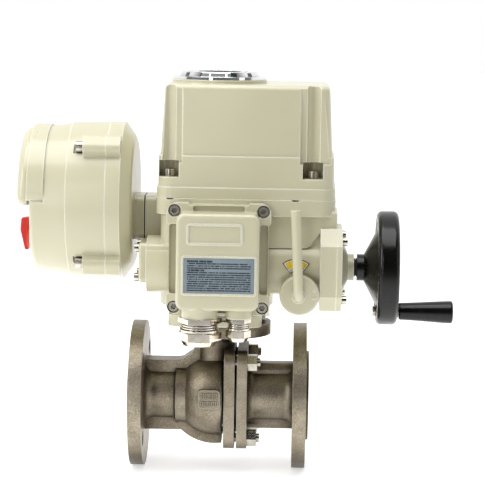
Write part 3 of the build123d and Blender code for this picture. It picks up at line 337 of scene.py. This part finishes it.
wheel_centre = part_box("worm_shaft")[0].lerp(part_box("worm_shaft")[1], 0.5)
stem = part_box("valve_stem")[0].lerp(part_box("valve_stem")[1], 0.5)
finishes = {
    "cream_paint": cream_paint(),
    "cast_stainless": cast_stainless(),
    "machined_steel": turned_metal(
        "machined_steel", (0.62, 0.59, 0.52), (0.44, 0.41, 0.35), 0.26, 0.0012, stem,
    ),
    "zinc_steel": turned_metal("zinc_steel", (0.66, 0.63, 0.56), (0.46, 0.43, 0.36), 0.22, scratch=0.25),
    "ball_steel": turned_metal("ball_steel", (0.78, 0.77, 0.75), (0.66, 0.65, 0.62), 0.10, scratch=0.15),
    "black_wheel": moulded(
        "black_wheel", (0.0035, 0.0034, 0.0030), 0.24,
        coat=0.10, grain=420.0, depth=0.00004, wear=(0.02, 0.02, 0.02), shine=0.30,
    ),
    "nickel_plate": turned_metal(
        "nickel_plate", (0.84, 0.79, 0.70), (0.66, 0.60, 0.50), 0.07, scratch=0.08, shade_distance=0.011,
    ),
    "bronze": turned_metal(
        "bronze", (0.66, 0.42, 0.16), (0.45, 0.27, 0.10), 0.30, 0.0010, wheel_centre, 0,
    ),
    "black_rubber": moulded("black_rubber", (0.020, 0.020, 0.020), 0.68, 0.0, 800.0, 0.0001),
    "white_polymer": moulded("white_polymer", (0.72, 0.71, 0.66), 0.45),
    "glass_clear": clear_glass(),
    "red_plastic": moulded(
        "red_plastic", (0.74, 0.020, 0.008), 0.32,
        coat=0.15, grain=500.0, depth=0.00005, wear=(0.80, 0.10, 0.08),
    ),
    "black_plastic": moulded("black_plastic", (0.028, 0.028, 0.030), 0.48),
    "label_grey": label_foil(),
    "label_yellow": scale_label(),
    "board_green": moulded("board_green", (0.012, 0.10, 0.035), 0.35, 0.5),
    "chrome_bezel": turned_metal(
        "chrome_bezel", (0.88, 0.88, 0.88), (0.80, 0.80, 0.80), 0.05, scratch=0.05,
    ),
}

for part in frame["record"]["subparts"]:
    slots = nodes[part["node"]].data.materials
    slots.clear()
    slots.append(finishes[part["material_slot"]])


# ---------------------------------------------------------------- detail pieces
def solid(name, rings, body, slot_name, closed=False):
    """Closed mesh through rings of points in order, capped at both ends unless it closes on itself."""
    mesh = bpy.data.meshes.new(name)
    shape = bmesh.new()
    loops = [[shape.verts.new(point) for point in ring] for ring in rings]
    pairs = list(zip(loops, loops[1:]))
    if closed:
        pairs.append((loops[-1], loops[0]))
    else:
        shape.faces.new(loops[0])
        shape.faces.new(loops[-1][::-1])
    for here, there in pairs:
        for i in range(len(here)):
            j = (i + 1) % len(here)
            shape.faces.new((here[i], there[i], there[j], here[j]))
    bmesh.ops.recalc_face_normals(shape, faces=shape.faces)
    shape.to_mesh(mesh)
    shape.free()
    made = bpy.data.objects.new(name, mesh)
    scene.collection.objects.link(made)
    mesh.materials.append(finishes[slot_name])
    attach(made, body)
    return made


tint = Finish("bezel_tint", (0.010, 0.030, 0.034), 0.05)
drift = tint.spread(tint.noise(70.0), 0.3, 0.7)
tint.set("Base Color", tint.mix(drift, (0.004, 0.012, 0.015), (0.012, 0.045, 0.050)))
tint.set("Coat Weight", 0.6)

# Dark windows between the posts of the bezel's sloping side
bezel_low, bezel_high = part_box("indicator_bezel")
bezel_centre = (bezel_low + bezel_high) / 2
pane = [(0.04440, -0.0047), (0.04217, -0.0008), (0.04160, -0.0008), (0.04380, -0.0047)]
spans = (
    (-117, -103), (-101, -79), (-77, -62), (-42, -33), (-147, -138), (63, 77), (79, 101), (103, 117),
)
steps = 8
for number, (start, end) in enumerate(spans):
    rings = []
    for step in range(steps + 1):
        turn = math.radians(start + (end - start) * step / steps)
        rings.append([
            (bezel_centre.x + r * math.cos(turn), bezel_centre.y + r * math.sin(turn), bezel_high.z + h)
            for r, h in pane
        ])
    window = solid(f"bezel_window_{number}", rings, "housing", "glass_clear")
    window.data.materials[0] = tint.material

# Generic raised squares on the valve's casting pad
pad_x, pad_y, pad_z = stem.x - 0.005, -0.049, 0.0026
raised = 0.0006
rooted = 0.0003
bevel = 0.0009
squares = [(-0.0072 + 0.0048 * i, 0.0040, 0.0040, 0.0062) for i in range(4)]
squares += [(-0.0084 + 0.0042 * i, -0.0048, 0.0033, 0.0052) for i in range(5)]
for number, (x, z, wide, high) in enumerate(squares):
    rings = []
    for sx, sz in ((-1, -1), (1, -1), (1, 1), (-1, 1)):
        outer = (pad_x + x + sx * wide / 2, pad_z + z + sz * high / 2)
        inner = (outer[0] - sx * bevel, outer[1] - sz * bevel)
        rings.append([
            (outer[0], pad_y + rooted, outer[1]), (outer[0], pad_y - raised, outer[1]),
            (inner[0], pad_y - raised, inner[1]), (inner[0], pad_y + rooted, inner[1]),
        ])
    solid(f"casting_square_{number}", rings, "housing", "cast_stainless", closed=True)


# ---------------------------------------------------------------- floor, light and camera
low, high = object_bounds()
floor_mesh = bpy.data.meshes.new("floor")
shape = bmesh.new()
reach = 14.0
gap = 0.0002
corners = [(-reach, -reach), (reach, -reach), (reach, reach), (-reach, reach)]
shape.faces.new([shape.verts.new((x, y, low.z - gap)) for x, y in corners])
shape.to_mesh(floor_mesh)
shape.free()
floor = bpy.data.objects.new("floor", floor_mesh)
scene.collection.objects.link(floor)
# Painted light on the floor: dark grey from about 1.3 m in front of the part, turning pale further back,
# and glowing faintly behind it though it is no lamp.
sheet = Finish("floor_dark_front_glowing_back", (0.93, 0.93, 0.93), 0.9)
glow_behind = sheet.spread(sheet.axes()[1], -1.3, -0.25)
sheet.set("Emission Color", (1.0, 1.0, 1.0))
sheet.set("Emission Strength", sheet.math("MULTIPLY", glow_behind, 0.55))
pale = sheet.mix(sheet.noise(3.0), (0.93, 0.93, 0.93), (0.95, 0.95, 0.95))
sheet.set("Base Color", sheet.mix(glow_behind, (0.32, 0.32, 0.32), pale))
floor_mesh.materials.append(sheet.material)

world = bpy.data.worlds.new("studio")
world.use_nodes = True
scene.world = world
tree = world.node_tree
backdrop = tree.nodes["Background"]
direction = tree.nodes.new("ShaderNodeTexCoord").outputs["Generated"]
split = tree.nodes.new("ShaderNodeSeparateXYZ")
tree.links.new(direction, split.inputs[0])
ramp = tree.nodes.new("ShaderNodeValToRGB")
stops = ramp.color_ramp.elements
stops[0].position = 0.24
stops[0].color = (0.015, 0.015, 0.015, 1)
stops[1].position = 0.58
stops[1].color = (1.0, 1.0, 1.0, 1)
side = stops.new(0.42)
side.color = (0.30, 0.30, 0.30, 1)
half = tree.nodes.new("ShaderNodeMapRange")
half.inputs["From Min"].default_value = -1.0
tree.links.new(split.outputs[1], half.inputs["Value"])
tree.links.new(half.outputs["Result"], ramp.inputs[0])
tree.links.new(ramp.outputs[0], backdrop.inputs["Color"])
backdrop.inputs["Strength"].default_value = 1.0


def softbox(name, place, aim, width, height, power):
    lamp = bpy.data.lights.new(name, "AREA")
    lamp.shape = "RECTANGLE"
    lamp.size = width
    lamp.size_y = height
    lamp.energy = power
    made = bpy.data.objects.new(name, lamp)
    made.location = place
    made.rotation_euler = (Vector(aim) - Vector(place)).to_track_quat("-Z", "Y").to_euler()
    scene.collection.objects.link(made)


middle = (low + high) / 2
softbox("key_left", (-1.50, -1.05, 0.95), middle, 0.8, 1.3, 17.0)
softbox("fill_right", (1.60, -0.95, 0.70), middle, 0.5, 1.3, 2.5)
softbox("top", (0.00, -0.35, 1.50), middle, 1.5, 1.0, 18.0)
softbox("front_strip", (-0.65, -2.20, 0.65), middle, 0.30, 1.5, 6.0)

camera_data = bpy.data.cameras.new("camera")
camera_data.sensor_fit = "VERTICAL"
camera_data.angle_y = math.radians(15.27)
camera_data.clip_start = 0.05
camera = bpy.data.objects.new("camera", camera_data)
scene.collection.objects.link(camera)
camera.location = (0.177, -2.090, 0.435)
look = Vector((0.125, 0.0, 0.1654)) - camera.location
aim = look.to_track_quat("-Z", "Y").to_matrix()
camera.rotation_euler = (aim @ Matrix.Rotation(math.radians(0.9), 3, "Z")).to_euler()
scene.camera = camera
scene.view_settings.view_transform = "Standard"
scene.view_settings.look = "None"
